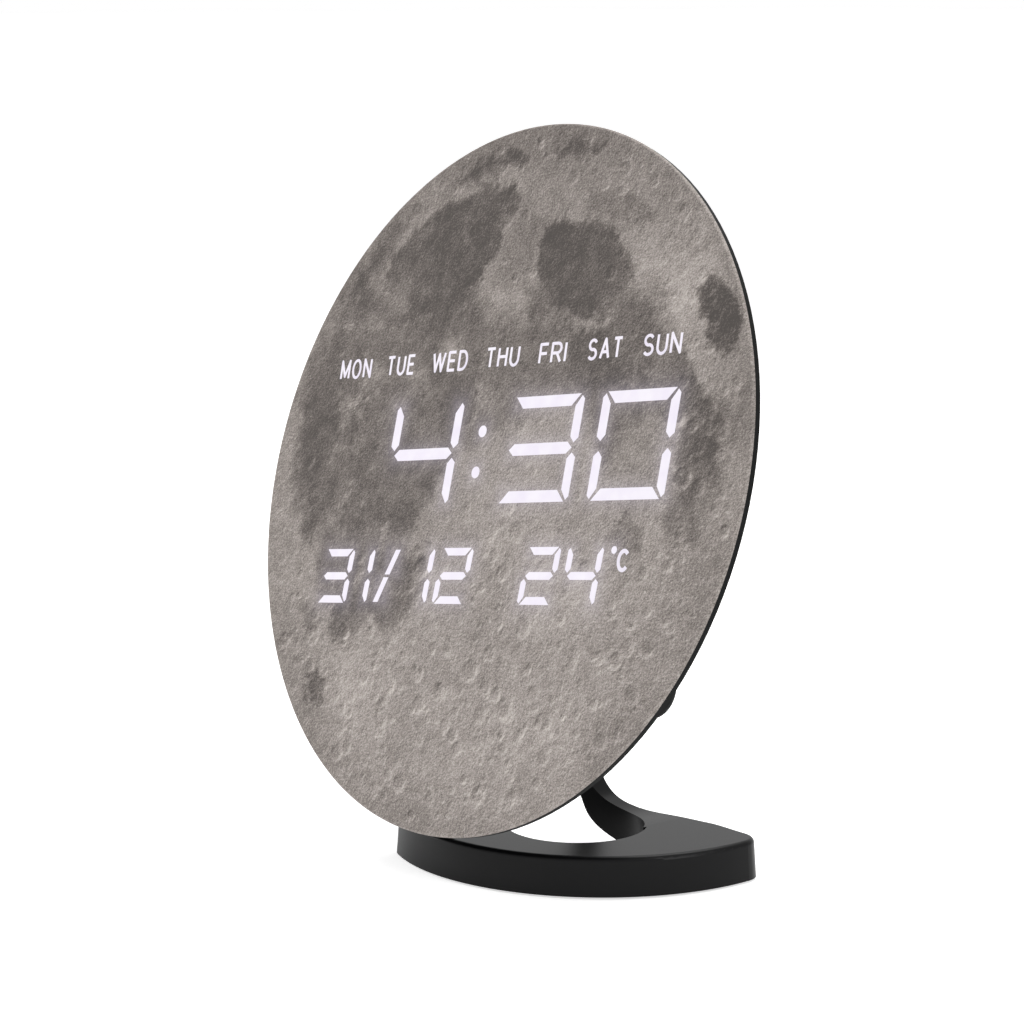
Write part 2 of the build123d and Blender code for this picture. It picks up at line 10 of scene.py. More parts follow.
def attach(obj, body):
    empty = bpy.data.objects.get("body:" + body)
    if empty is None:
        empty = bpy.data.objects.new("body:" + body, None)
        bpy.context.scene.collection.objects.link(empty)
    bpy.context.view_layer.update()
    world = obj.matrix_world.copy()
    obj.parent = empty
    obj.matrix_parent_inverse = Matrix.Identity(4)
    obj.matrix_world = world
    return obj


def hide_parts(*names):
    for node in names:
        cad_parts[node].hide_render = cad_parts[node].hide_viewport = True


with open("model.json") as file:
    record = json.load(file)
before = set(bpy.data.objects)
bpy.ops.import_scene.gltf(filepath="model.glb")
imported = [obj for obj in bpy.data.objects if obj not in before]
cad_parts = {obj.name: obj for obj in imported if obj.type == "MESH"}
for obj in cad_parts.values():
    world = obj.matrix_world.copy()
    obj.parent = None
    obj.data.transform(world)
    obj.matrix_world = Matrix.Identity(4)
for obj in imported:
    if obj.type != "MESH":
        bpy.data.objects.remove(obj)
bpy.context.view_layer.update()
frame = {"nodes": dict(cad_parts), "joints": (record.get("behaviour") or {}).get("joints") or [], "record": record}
nodes = frame["nodes"]
mm = 0.001
print("frame loaded:", len(nodes), "nodes")


# where the face is: the hub axis runs through its middle, and the print is turned about that axis
face = {"radius": 125.0, "turn": 8.7, "hubDepth": 41.0, "lip": 1.0, "step": 1.5, "thickness": 2.4,
        "edgeRound": 0.9, "edgeTurns": (30, 60, 90), "edgeLift": 0.08}
headTurn = next(joint for joint in frame["joints"] if joint["name"] == "head_turn")
faceNormal = Vector(headTurn["axis"]).normalized()
faceCentre = Vector(headTurn["pos_m"]) + faceNormal * face["hubDepth"] * mm
levelRight = Vector((1.0, 0.0, 0.0))
levelUp = faceNormal.cross(levelRight)
turnCos, turnSin = math.cos(math.radians(face["turn"])), math.sin(math.radians(face["turn"]))
faceRight = levelRight * turnCos + levelUp * turnSin
faceUp = levelUp * turnCos - levelRight * turnSin
faceRows = [(faceRight[i] * mm, faceUp[i] * mm, faceNormal[i] * mm, faceCentre[i]) for i in range(3)]
faceMatrix = Matrix((*faceRows, (0.0, 0.0, 0.0, 1.0)))


# small helpers for objects and materials
def addObject(name, data):
    made = bpy.data.objects.new(name, data)
    bpy.context.scene.collection.objects.link(made)
    return made


def meshObject(name, verts, faces, material, smooth=False):
    mesh = bpy.data.meshes.new(name)
    mesh.from_pydata([tuple(point) for point in verts], [], [tuple(loop) for loop in faces])
    mesh.materials.append(material)
    mesh.update()
    if smooth:
        mesh.shade_smooth()
    return addObject(name, mesh)


def newMaterial(name):
    material = bpy.data.materials.new(name)
    material.use_nodes = True
    tree = material.node_tree
    return material, tree, tree.nodes["Principled BSDF"]


def addNode(tree, kind, **values):
    node = tree.nodes.new(kind)
    for key, value in values.items():
        setattr(node, key, value)
    return node


def linkedNode(tree, kind, sources, **values):
    node = addNode(tree, kind, **values)
    for label, source in sources.items():
        tree.links.new(source, node.inputs[label])
    return node


def objectCoords(tree):
    return addNode(tree, "ShaderNodeTexCoord").outputs["Object"]


def mathNode(tree, operation, *values):
    node = addNode(tree, "ShaderNodeMath", operation=operation)
    for socket, value in zip(node.inputs, values):
        if isinstance(value, float):
            socket.default_value = value
        else:
            tree.links.new(value, socket)
    return node.outputs["Value"]


def noiseNode(tree, coords, scale, detail, roughness=0.55):
    noise = addNode(tree, "ShaderNodeTexNoise")
    noise.inputs["Scale"].default_value = scale
    noise.inputs["Detail"].default_value = detail
    noise.inputs["Roughness"].default_value = roughness
    tree.links.new(coords, noise.inputs["Vector"])
    return noise.outputs["Fac"]


def rampNode(tree, source, stops):
    ramp = addNode(tree, "ShaderNodeValToRGB")
    ends = ramp.color_ramp.elements
    for end, (position, colour) in zip((ends[0], ends[1]), (stops[0], stops[-1])):
        end.position = position
        end.color = (*colour, 1.0)
    for position, colour in stops[1:-1]:
        ramp.color_ramp.elements.new(position).color = (*colour, 1.0)
    tree.links.new(source, ramp.inputs["Fac"])
    return ramp.outputs["Color"]


def rangeNode(tree, source, low, high):
    spread = addNode(tree, "ShaderNodeMapRange")
    spread.inputs["To Min"].default_value = low
    spread.inputs["To Max"].default_value = high
    tree.links.new(source, spread.inputs["Value"])
    return spread.outputs["Result"]


def bumpNode(tree, height, strength, distance):
    bump = addNode(tree, "ShaderNodeBump")
    bump.inputs["Strength"].default_value = strength
    bump.inputs["Distance"].default_value = distance
    tree.links.new(height, bump.inputs["Height"])
    return bump.outputs["Normal"]


def linear(red, green, blue):
    channels = []
    for value in (red, green, blue):
        unit = value / 255.0
        channels.append(unit / 12.92 if unit <= 0.04045 else ((unit + 0.055) / 1.055) ** 2.4)
    return tuple(channels)


# moulded, painted and plated finishes: one recipe, then the numbers of each, with the grain's depth in mm
mould = {"cloudScale": 38.0, "cloudDetail": 3.0, "darkAt": 0.3, "lightAt": 0.72,
         "grainDetail": 6.0, "grainRoughness": 0.6, "bump": 0.35, "specular": 0.16}
finishes = {
    "shellBlack": {"dark": (5, 5, 5), "light": (9, 9, 9), "rough": (0.46, 0.62),
                   "grain": 2600.0, "depth": 0.04, "specular": 0.1},
    "coverBlack": {"dark": (17, 17, 18), "light": (24, 24, 25), "rough": (0.5, 0.68),
                   "grain": 1900.0, "depth": 0.05},
    "standSatinBlack": {"dark": (7, 7, 8), "light": (12, 12, 13), "rough": (0.26, 0.38),
                        "grain": 3200.0, "depth": 0.02, "specular": 0.13},
    "padRubber": {"dark": (34, 34, 34), "light": (46, 46, 46), "rough": (0.75, 0.9),
                  "grain": 1500.0, "depth": 0.06},
    "buttonRubber": {"dark": (56, 56, 58), "light": (68, 68, 70), "rough": (0.55, 0.7),
                     "grain": 2400.0, "depth": 0.03},
    "screwSteel": {"dark": (70, 70, 72), "light": (96, 96, 98), "rough": (0.3, 0.45),
                   "grain": 3000.0, "depth": 0.01, "metallic": 1.0},
    "platedSteel": {"dark": (165, 165, 164), "light": (196, 196, 194), "rough": (0.22, 0.4),
                    "grain": 2200.0, "depth": 0.01, "metallic": 1.0},
    "boardGreen": {"dark": (24, 66, 44), "light": (34, 84, 56), "rough": (0.35, 0.5),
                   "grain": 1200.0, "depth": 0.02},
    "innerWhite": {"dark": (222, 222, 220), "light": (236, 236, 234), "rough": (0.5, 0.65),
                   "grain": 1800.0, "depth": 0.02},
    "partBlack": {"dark": (36, 36, 38), "light": (48, 48, 50), "rough": (0.45, 0.6),
                  "grain": 2000.0, "depth": 0.03},
}
slotFinishes = {
    "shell_black": "shellBlack", "cover_black": "coverBlack", "stand_black": "standSatinBlack",
    "rubber": "padRubber", "button": "buttonRubber", "screw": "screwSteel", "steel": "platedSteel",
    "cell": "platedSteel", "socket": "platedSteel", "board": "boardGreen", "white_block": "innerWhite",
    "film": "innerWhite", "washer": "innerWhite", "led": "innerWhite", "component": "partBlack",
    "moon_face": "shellBlack",
}


def mouldedMaterial(name, finish):
    material, tree, shader = newMaterial(name)
    coords = objectCoords(tree)
    patches = noiseNode(tree, coords, mould["cloudScale"], mould["cloudDetail"])
    stops = ((mould["darkAt"], linear(*finish["dark"])), (mould["lightAt"], linear(*finish["light"])))
    texture = noiseNode(tree, coords, finish["grain"], mould["grainDetail"], mould["grainRoughness"])
    tree.links.new(rampNode(tree, patches, stops), shader.inputs["Base Color"])
    tree.links.new(rangeNode(tree, texture, *finish["rough"]), shader.inputs["Roughness"])
    tree.links.new(bumpNode(tree, texture, mould["bump"], finish["depth"] * mm), shader.inputs["Normal"])
    shader.inputs["Metallic"].default_value = finish.get("metallic", 0.0)
    shader.inputs["Specular IOR Level"].default_value = finish.get("specular", mould["specular"])
    return material


materials = {name: mouldedMaterial(name, finish) for name, finish in finishes.items()}
for entry in frame["record"]["subparts"]:
    cadMesh = nodes[entry["node"]].data
    cadMesh.materials.clear()
    cadMesh.materials.append(materials[slotFinishes[entry["material_slot"]]])
print("finishes on the solids done")


# the printed moon: tones and relief are worked out for each point of the face, in mm from its middle;
# bend, fray and ragged are in units of the sheet that the plains are drawn on, and the relief is calm at the edge
moonPrint = {"grid": 300, "sheetScale": 4, "bend": 18, "fray": 20, "ragged": 34,
             "reliefDepth": 0.045, "calmFrom": 124, "calmTo": 118, "backTone": 0.5}
# clouds of noise: size in mm, seed, octaves, and what is left of the strength from one octave to the next
clouds = {
    "bendX": (14, 3, 4, 0.7), "frayX": (5, 4, 4, 0.85), "bendY": (14, 5, 4, 0.7), "frayY": (5, 6, 4, 0.85),
    "ragged": (7, 7, 5, 0.85), "broad": (34, 8, 5, 0.55), "mottle": (5, 9, 4, 0.85),
    "plainMottle": (8, 10, 5, 0.8), "rays": (5, 12, 3, 0.55), "thinning": (24, 15, 5, 0.55),
    "flecks": (7, 16, 4, 0.8),
}
noiseTable = {"cells": 64, "seedStep": 17, "shiftU": 31.7, "shiftV": 11.3}


def valueNoise(x, y, seed):
    cells = noiseTable["cells"]
    table = np.random.default_rng(seed).random((cells, cells))
    xi, yi = np.floor(x).astype(int), np.floor(y).astype(int)
    fx, fy = x - xi, y - yi
    fx, fy = fx * fx * (3 - 2 * fx), fy * fy * (3 - 2 * fy)
    x0, x1, y0, y1 = xi % cells, (xi + 1) % cells, yi % cells, (yi + 1) % cells
    low = table[y0, x0] * (1 - fx) + table[y0, x1] * fx
    high = table[y1, x0] * (1 - fx) + table[y1, x1] * fx
    return low * (1 - fy) + high * fy


def cloudNoise(name, u, v):
    size, seed, octaves, fade = clouds[name]
    total, weight, reach = np.zeros_like(u), 0.0, 1.0
    for octave in range(octaves):
        x = u / size * 2 ** octave + noiseTable["shiftU"]
        y = v / size * 2 ** octave + noiseTable["shiftV"]
        total += reach * valueNoise(x, y, seed * noiseTable["seedStep"] + octave)
        weight += reach
        reach *= fade
    return total / weight - 0.5


# dark plains, drawn on a sheet of 1000 units round the face: depth, softness of the edge, outline
darkPlains = (
    (0.95, 9, ((276, 122), (304, 108), (345, 94), (392, 82), (432, 78), (468, 86), (482, 102), (470, 118),
               (458, 128), (452, 150), (456, 170), (440, 190), (424, 206), (408, 228), (392, 250),
               (372, 262), (340, 262), (300, 258), (262, 246), (232, 232), (205, 215), (196, 196),
               (212, 172), (232, 148), (250, 126))),
    (0.86, 16, ((150, 196), (186, 206), (226, 226), (270, 246), (330, 256), (372, 262), (366, 292),
                (352, 318), (380, 336), (420, 344), (446, 360), (452, 392), (432, 424), (412, 462),
                (398, 500), (372, 540), (346, 572), (316, 584), (286, 566), (258, 580), (228, 594),
                (200, 576), (168, 556), (142, 540), (126, 562), (116, 592), (96, 574), (76, 540), (60, 500),
                (50, 458), (46, 420), (56, 378), (70, 338), (86, 298), (104, 258), (126, 222))),
    (0.4, 20, ((58, 430), (90, 410), (130, 430), (160, 470), (150, 520), (110, 540), (75, 510))),
    (0.35, 24, ((215, 420), (270, 400), (340, 410), (390, 430), (370, 480), (300, 500), (240, 480))),
    (0.7, 8, ((330, 62), (350, 48), (392, 40), (446, 34), (484, 42), (470, 54), (430, 54), (380, 58),
              (346, 68))),
    (0.6, 8, ((545, 40), (580, 32), (620, 34), (646, 44), (632, 58), (596, 54), (560, 52))),
    (0.65, 10, ((112, 226), (134, 192), (166, 158), (204, 126), (246, 96), (262, 92), (240, 112),
                (206, 142), (178, 172), (152, 196), (132, 226))),
    (0.95, 8, ((546, 152), (562, 140), (584, 136), (604, 146), (616, 160), (640, 150), (664, 160),
               (688, 172), (708, 190), (726, 210), (738, 234), (730, 256), (712, 276), (684, 290),
               (652, 290), (620, 282), (594, 272), (570, 256), (550, 238), (540, 212), (536, 180))),
    (0.85, 10, ((640, 300), (676, 298), (712, 290), (742, 272), (768, 262), (790, 282), (802, 312),
                (806, 350), (792, 384), (756, 392), (706, 398), (656, 386), (628, 360), (616, 330))),
    (0.6, 12, ((700, 394), (760, 392), (830, 392), (852, 410), (840, 428), (790, 424), (752, 436),
               (744, 470), (732, 510), (712, 500), (704, 450))),
    (0.85, 10, ((868, 452), (894, 432), (920, 414), (942, 428), (948, 462), (934, 502), (914, 540),
                (892, 548), (874, 524), (864, 490))),
    (0.6, 12, ((764, 566), (796, 552), (822, 572), (818, 602), (784, 610), (758, 594))),
    (1.0, 6, ((884, 246), (906, 250), (926, 266), (942, 292), (952, 322), (950, 342), (934, 348),
              (912, 340), (892, 324), (876, 298), (870, 272))),
    (0.42, 22, ((446, 398), (500, 372), (546, 388), (566, 414), (534, 434), (482, 436), (450, 424))),
    (0.6, 26, ((400, 262), (470, 270), (540, 286), (610, 296), (650, 340), (640, 392), (590, 398),
               (520, 388), (450, 372), (390, 330))),
    (0.58, 14, ((236, 650), (262, 612), (300, 594), (342, 600), (368, 634), (368, 684), (346, 716),
                (312, 716), (286, 692), (258, 690), (230, 706), (196, 726), (184, 712), (198, 684),
                (216, 660))),
    (0.3, 10, ((112, 684), (140, 688), (164, 706), (152, 726), (126, 712))),
    (0.75, 8, ((148, 792), (172, 784), (194, 798), (208, 824), (188, 834), (160, 820))),
    (0.5, 12, ((690, 136), (716, 120), (738, 138), (764, 156), (742, 172), (708, 160))),
    (0.3, 8, ((966, 380), (982, 396), (984, 432), (974, 436), (964, 408))),
    (0.85, 14, ((772, 330), (810, 330), (850, 348), (886, 378), (924, 412), (904, 436), (860, 434),
                (820, 414), (780, 402))),
    (0.5, 16, ((700, 236), (740, 244), (790, 244), (822, 280), (838, 330), (800, 344), (760, 292),
               (712, 298))),
    (0.65, 14, ((520, 238), (554, 226), (600, 268), (640, 300), (600, 312), (550, 302), (528, 272))),
    (0.5, 16, ((354, 264), (396, 238), (440, 248), (430, 282), (390, 308), (350, 302))),
    (0.5, 18, ((640, 366), (700, 374), (790, 380), (804, 420), (772, 448), (720, 442), (690, 422),
               (650, 412))),
    (0.5, 16, ((858, 500), (930, 478), (952, 520), (932, 580), (892, 622), (862, 580))),
    (0.28, 26, ((720, 420), (862, 420), (884, 560), (800, 574), (728, 562))),
    (0.55, 18, ((130, 560), (172, 562), (222, 580), (242, 622), (212, 682), (160, 684), (140, 632))),
    (0.5, 22, ((190, 556), (250, 564), (322, 558), (334, 592), (284, 622), (230, 612), (198, 592))),
    (0.45, 14, ((354, 608), (396, 614), (402, 662), (370, 684), (350, 652))),
    (0.5, 22, ((28, 404), (42, 330), (68, 260), (108, 190), (132, 156), (156, 176), (112, 240), (80, 312),
               (66, 392))),
    (0.4, 16, ((140, 200), (168, 158), (210, 148), (204, 190), (170, 214))),
    (0.32, 24, ((448, 118), (500, 108), (540, 140), (530, 204), (480, 234), (438, 214))),
    (0.4, 12, ((628, 108), (680, 114), (704, 150), (672, 168), (640, 142))),
    (0.5, 14, ((194, 690), (236, 674), (264, 692), (252, 732), (212, 744))),
    (0.42, 14, ((416, 404), (450, 398), (490, 418), (486, 450), (450, 462), (420, 446))),
    (0.42, 12, ((694, 230), (728, 226), (746, 256), (730, 294), (700, 298))),
    (0.3, 14, ((650, 380), (704, 380), (716, 440), (690, 460), (654, 430))),
    (0.35, 12, ((912, 410), (950, 414), (970, 446), (952, 500), (924, 480))),
    (0.3, 16, ((44, 490), (70, 480), (100, 530), (94, 560), (66, 550))),
)
# bright young craters with splashed rays: middle in mm, reach and lift of tone
brightSpots = ((-82, 27, 10, 1.4), (-50, 37, 7, 0.8), (-92, 59, 8, 1.3), (-82, -9, 7, 0.8),
               (-67, -3, 5, 0.6), (-64, 93, 5, 0.4), (90, 59, 4, 0.5), (16, -88, 10, 0.3),
               (-70, 40, 5, 0.4), (4, 96, 6, 0.4), (-30, 12, 6, 0.3))
# larger ring craters of the pale highlands, drawn on the same sheet: middle and radius
ringCraters = ((340, 842, 15), (456, 800, 12), (516, 772, 16), (550, 832, 13), (606, 826, 15),
               (430, 868, 10), (652, 800, 12), (690, 850, 14), (300, 790, 10), (720, 760, 10),
               (250, 860, 12), (400, 930, 13), (470, 950, 10), (570, 940, 14), (820, 700, 12),
               (800, 130, 10), (850, 190, 12), (500, 130, 9), (655, 100, 10))
# tones run from dark at 0 to light at 1: the highlands, what the clouds change, what the plains take away
shading = {"base": 0.545, "broad": 0.17, "mottle": 0.18, "plains": 0.285, "plainMottle": 0.2}
# where the plains are worn through: share taken off, and the stretch of the cloud it comes up over
wornThrough = {"thinning": (0.2, 0.02, 0.2), "flecks": (0.2, 0.05, 0.22)}
# broad fades of the tone: lift, and the stretches of the face it comes up over
fades = (
    {"lift": -0.07, "over": {"up": (30, 112)}},
    {"lift": -0.05, "over": {"out": (96, 125)}},
    {"lift": -0.03, "over": {"along": (84, 118)}},
    {"lift": -0.025, "over": {"along": (-50, -95), "up": (0, -50)}},
    {"lift": 0.06, "over": {"along": (30, 75), "up": (35, 75)}},
)
# rays of a bright crater: lift of tone, even and streaked shares, two counts of streaks, how broken they are
splash = {"lift": 0.22, "even": 0.6, "streaked": 0.4, "streaks": (7, 11), "broken": 1.4}
# one crater in parts of its own radius: bowl, raised rim, and the slope that catches the light
crater = {"reach": 1.9, "bowlEdge": 1.0, "bowlFloor": 0.35, "rimAt": 1.05, "rimWidth": 0.16, "rimHeight": 0.55,
          "slopeAt": 0.84, "slopeWidth": 0.22, "lightUp": 0.66, "lightAlong": 0.62,
          "slopeTone": -0.22, "rimTone": 0.045, "bowlTone": 0.015, "deepSize": 4}
# the crowd of craters: sizes thin out by a power, and the highlands keep more of them than the plains
crowd = {"seed": 41, "count": 1900, "reach": 120, "smallest": 1.0, "largest": 4.2, "power": 2.3,
         "worn": 0.35, "fresh": 0.65, "ringFresh": 0.65, "onPlains": 0.16, "onHighlands": 0.9,
         "low": (-10, -60), "right": (60, 110), "poles": (96, 112), "poleShare": 0.7}


def smoothStep(low, high, value):
    unit = np.clip((value - low) / (high - low), 0, 1)
    return unit * unit * (3 - 2 * unit)


def bell(value, middle, width):
    return np.exp(-((value - middle) / width) ** 2)


def edgeDistance(u, v, outline):
    nearest, inside = np.full_like(u, 1e9), np.zeros(u.shape, bool)
    for (u0, v0), (u1, v1) in zip(outline, outline[1:] + outline[:1]):
        du, dv = u1 - u0, v1 - v0
        share = np.clip(((u - u0) * du + (v - v0) * dv) / (du * du + dv * dv), 0, 1)
        nearest = np.minimum(nearest, np.hypot(u - u0 - share * du, v - v0 - share * dv))
        if v0 != v1:
            inside ^= ((v0 > v) != (v1 > v)) & (u < u0 + (v - v0) * du / dv)
    return np.where(inside, nearest, -nearest)


def plainDarkness(u, v):
    bend, fray, scale, radius = moonPrint["bend"], moonPrint["fray"], moonPrint["sheetScale"], face["radius"]
    sheetX = (u + radius) * scale + bend * cloudNoise("bendX", u, v) + fray * cloudNoise("frayX", u, v)
    sheetY = (radius - v) * scale + bend * cloudNoise("bendY", u, v) + fray * cloudNoise("frayY", u, v)
    ragged = moonPrint["ragged"] * cloudNoise("ragged", u, v)
    bare = np.ones_like(u)
    for depth, soft, outline in darkPlains:
        bare *= 1 - depth * smoothStep(-soft, soft, edgeDistance(sheetX, sheetY, outline) + ragged)
    dark = 1 - bare
    for name, (share, low, high) in wornThrough.items():
        dark *= 1 - share * smoothStep(low, high, cloudNoise(name, u, v))
    return dark


def pressCrater(place, tone, relief, middle, size, fresh):
    reach = crater["reach"] * size
    du, dv = place[0] - middle[0], place[1] - middle[1]
    near = np.flatnonzero((np.abs(du) < reach) & (np.abs(dv) < reach))
    du, dv = du[near] / size, dv[near] / size
    away = np.hypot(du, dv)
    bowl = -smoothStep(crater["bowlEdge"], crater["bowlFloor"], away)
    rim = bell(away, crater["rimAt"], crater["rimWidth"])
    facing = dv * crater["lightUp"] - du * crater["lightAlong"]
    slope = facing * bell(away, crater["slopeAt"], crater["slopeWidth"])
    tone[near] += fresh * (crater["slopeTone"] * slope + crater["rimTone"] * rim + crater["bowlTone"] * bowl)
    relief[near] += fresh * (bowl + crater["rimHeight"] * rim) * min(1.0, size / crater["deepSize"])


def paintMoon(u, v):
    tone = shading["base"] + sum(shading[name] * cloudNoise(name, u, v) for name in ("broad", "mottle"))
    ways = {"along": u, "up": v, "out": np.hypot(u, v)}
    for fade in fades:
        lift = fade["lift"]
        for way, stretch in fade["over"].items():
            lift = lift * smoothStep(*stretch, ways[way])
        tone += lift
    plainTone = shading["plains"] + shading["plainMottle"] * cloudNoise("plainMottle", u, v)
    tone -= plainTone * plainDarkness(u, v)
    broken = 1 + splash["broken"] * cloudNoise("rays", u, v)
    for middleU, middleV, size, lift in brightSpots:
        away = np.hypot(u - middleU, v - middleV)
        spread = np.arctan2(v - middleV, u - middleU)
        wide, narrow = splash["streaks"]
        streaks = np.sin(spread * wide + middleU) * np.sin(spread * narrow + middleV)
        rays = splash["even"] + splash["streaked"] * streaks
        tone += lift * splash["lift"] * np.exp(-away / size) * rays * broken

    relief, scale, radius = np.zeros_like(u), moonPrint["sheetScale"], face["radius"]
    for x, y, size in ringCraters:
        middle = (x / scale - radius, radius - y / scale)
        pressCrater((u, v), tone, relief, middle, size / scale, crowd["ringFresh"])
    rng = np.random.default_rng(crowd["seed"])
    sizeRange = 1 - (crowd["smallest"] / crowd["largest"]) ** crowd["power"]
    for _ in range(crowd["count"]):
        angle, reach = rng.random() * 2 * math.pi, math.sqrt(rng.random()) * crowd["reach"]
        size = crowd["smallest"] * (1 - rng.random() * sizeRange) ** (-1 / crowd["power"])
        middleU, middleV = reach * math.cos(angle), reach * math.sin(angle)
        fresh = crowd["worn"] + crowd["fresh"] * rng.random()
        highland = smoothStep(*crowd["low"], middleV) + smoothStep(*crowd["right"], middleU)
        highland += smoothStep(*crowd["poles"], abs(middleV)) * crowd["poleShare"]
        if rng.random() <= crowd["onPlains"] + crowd["onHighlands"] * highland:
            pressCrater((u, v), tone, relief, (middleU, middleV), size, fresh)
    return tone, relief


def concentricGrid(count):
    line = np.linspace(-1, 1, count + 1)
    a, b = np.meshgrid(line, line)
    across = np.abs(a) > np.abs(b)
    with np.errstate(divide="ignore", invalid="ignore"):
        angle = np.where(across, np.pi / 4 * b / a, np.pi / 2 - np.pi / 4 * a / b)
    angle[(a == 0) & (b == 0)] = 0
    reach = np.where(across, a, b)
    return reach * np.cos(angle), reach * np.sin(angle)


# lit marks on the face, in mm: rows of digits, the dots and the stroke between them, and the degree ring
display = {"proud": 0.05, "sunk": 0.08, "glowReach": 2.6}
timeRow = {"v": 8.5, "width": 33.0, "height": 32.9, "stroke": 4.1, "gap": 1.7, "slant": 0.05,
           "marks": (("4", -38.2), ("3", 24.4), ("0", 70.6))}
timeDots = {"middles": ((-7.0, 15.7), (-7.7, 1.2)), "radius": 2.1}
smallRow = {"v": -35.2, "width": 14.6, "height": 17.0, "stroke": 2.7, "gap": 1.05, "slant": 0.08}
dateRow = {**smallRow, "marks": (("3", -78.0), ("1", -66.2), ("1", -32.6), ("2", -12.0))}
warmthRow = {**smallRow, "marks": (("2", 33.0), ("4", 54.0))}
slash = {"half": 1.35, "strokes": (((-53.0, -44.6), (-48.8, -35.7)), ((-48.4, -34.7), (-44.0, -25.8)))}
degreeRing = {"middle": (68.2, -26.6), "radius": 1.3}
# bars of the digits by name; ends and corners in parts of the gap or of half a stroke
digitBars = {"0": "abcdef", "1": "bc", "2": "abged", "3": "abgcd", "4": "fgbc"}
barShape = {"endGap": 1.25, "middleOut": 0.7, "middlePoint": 0.2, "farGap": 0.3, "shoulder": 0.8,
            "cut": 0.35, "cutTop": 0.95}


def levelBar(bar, halfWidth, halfHeight, half, gap):
    x0, x1 = -halfWidth + gap * barShape["endGap"], halfWidth - gap * barShape["endGap"]
    if bar == "g":
        x0, x1 = x0 - gap * barShape["middleOut"], x1 + gap * barShape["middleOut"]
        point = half * barShape["middlePoint"]
        return ((x0 - point, 0), (x0 + half, half), (x1 - half, half),
                (x1 + point, 0), (x1 - half, -half), (x0 + half, -half))
    top, y = (half, halfHeight) if bar == "a" else (-half, -halfHeight)
    return ((x0 - top, y + half), (x1 + top, y + half), (x1 - top, y - half), (x0 + top, y - half))


def uprightBar(bar, halfWidth, halfHeight, half, gap):
    side, level = (1 if bar in "bc" else -1), (1 if bar in "bf" else -1)
    x = side * halfWidth
    inner, outer, tip = x - side * half, x + side * half, x + side * half * barShape["cut"]
    near, far, shoulder = gap, halfHeight - gap * barShape["farGap"], half * barShape["shoulder"]
    points = ((x, near), (outer, near + shoulder), (outer, far + half * barShape["cut"]),
              (tip, far + half * barShape["cutTop"]), (inner, far - shoulder), (inner, near + half))
    return [(along, level * up) for along, up in points]


def rowOutlines(row):
    sizes = (row["width"] / 2, row["height"] / 2, row["stroke"] / 2, row["gap"])
    outlines = []
    for mark, middle in row["marks"]:
        for bar in digitBars[mark]:
            points = levelBar(bar, *sizes) if bar in "agd" else uprightBar(bar, *sizes)
            outlines.append([(middle + x + row["slant"] * y, row["v"] + y) for x, y in points])
    return outlines


def ringOutline(middleU, middleV, radius, count=24):
    turns = [2 * math.pi * i / count for i in range(count)]
    return [(middleU + radius * math.cos(turn), middleV + radius * math.sin(turn)) for turn in turns]


timeOutlines, dateOutlines, warmthOutlines = (rowOutlines(row) for row in (timeRow, dateRow, warmthRow))
timeOutlines += [ringOutline(*middle, timeDots["radius"]) for middle in timeDots["middles"]]
for (x0, y0), (x1, y1) in slash["strokes"]:
    half = slash["half"]
    dateOutlines.append([(x0 - half, y0), (x0 + half, y0), (x1 + half, y1), (x1 - half, y1)])
warmthOutlines.append(ringOutline(*degreeRing["middle"], degreeRing["radius"]))


def glowOnFace(u, v):
    glow = np.zeros_like(u)
    for outline in timeOutlines + dateOutlines + warmthOutlines:
        points = np.array(outline)
        low, high = points.min(0), points.max(0)
        du = np.maximum(np.maximum(low[0] - u, u - high[0]), 0)
        dv = np.maximum(np.maximum(low[1] - v, v - high[1]), 0)
        glow = np.maximum(glow, np.exp(-np.hypot(du, dv) / display["glowReach"]))
    return glow


# grain of the print: heights read twice, a little apart towards the light, so that small slopes show
grain = {"stone": (1050.0, 4.0, 0.6), "grit": (2700.0, 3.0, 0.6), "pits": 165.0, "pitSmooth": 0.25,
         "pitFloor": 0.12, "pitEdge": 0.42, "step": 0.28, "lifts": (0.6, 0.34, 0.2),
         "speckle": (1500.0, 3.0, 0.7), "speckleLift": 0.3}
moonLook = {"tones": ((0.2, (70, 65, 62)), (0.36, (103, 96, 92)), (0.5, (136, 129, 124)),
                      (0.62, (164, 156, 151)), (0.85, (206, 199, 193))),
            "bump": 0.3, "bumpDepth": 0.15, "rough": (0.6, 0.78), "specular": 0.2,
            "glow": (222, 214, 240), "bleed": 0.12}


def grainHeights(tree, coords):
    pits = linkedNode(tree, "ShaderNodeTexVoronoi", {"Vector": coords}, feature="SMOOTH_F1")
    pits.inputs["Scale"].default_value = grain["pits"]
    pits.inputs["Smoothness"].default_value = grain["pitSmooth"]
    depth = {"Value": pits.outputs["Distance"]}
    bowl = linkedNode(tree, "ShaderNodeMapRange", depth, interpolation_type="SMOOTHSTEP")
    bowl.inputs["From Min"].default_value = grain["pitFloor"]
    bowl.inputs["From Max"].default_value = grain["pitEdge"]
    stone, grit = (noiseNode(tree, coords, *grain[name]) for name in ("stone", "grit"))
    return stone, grit, bowl.outputs["Result"]


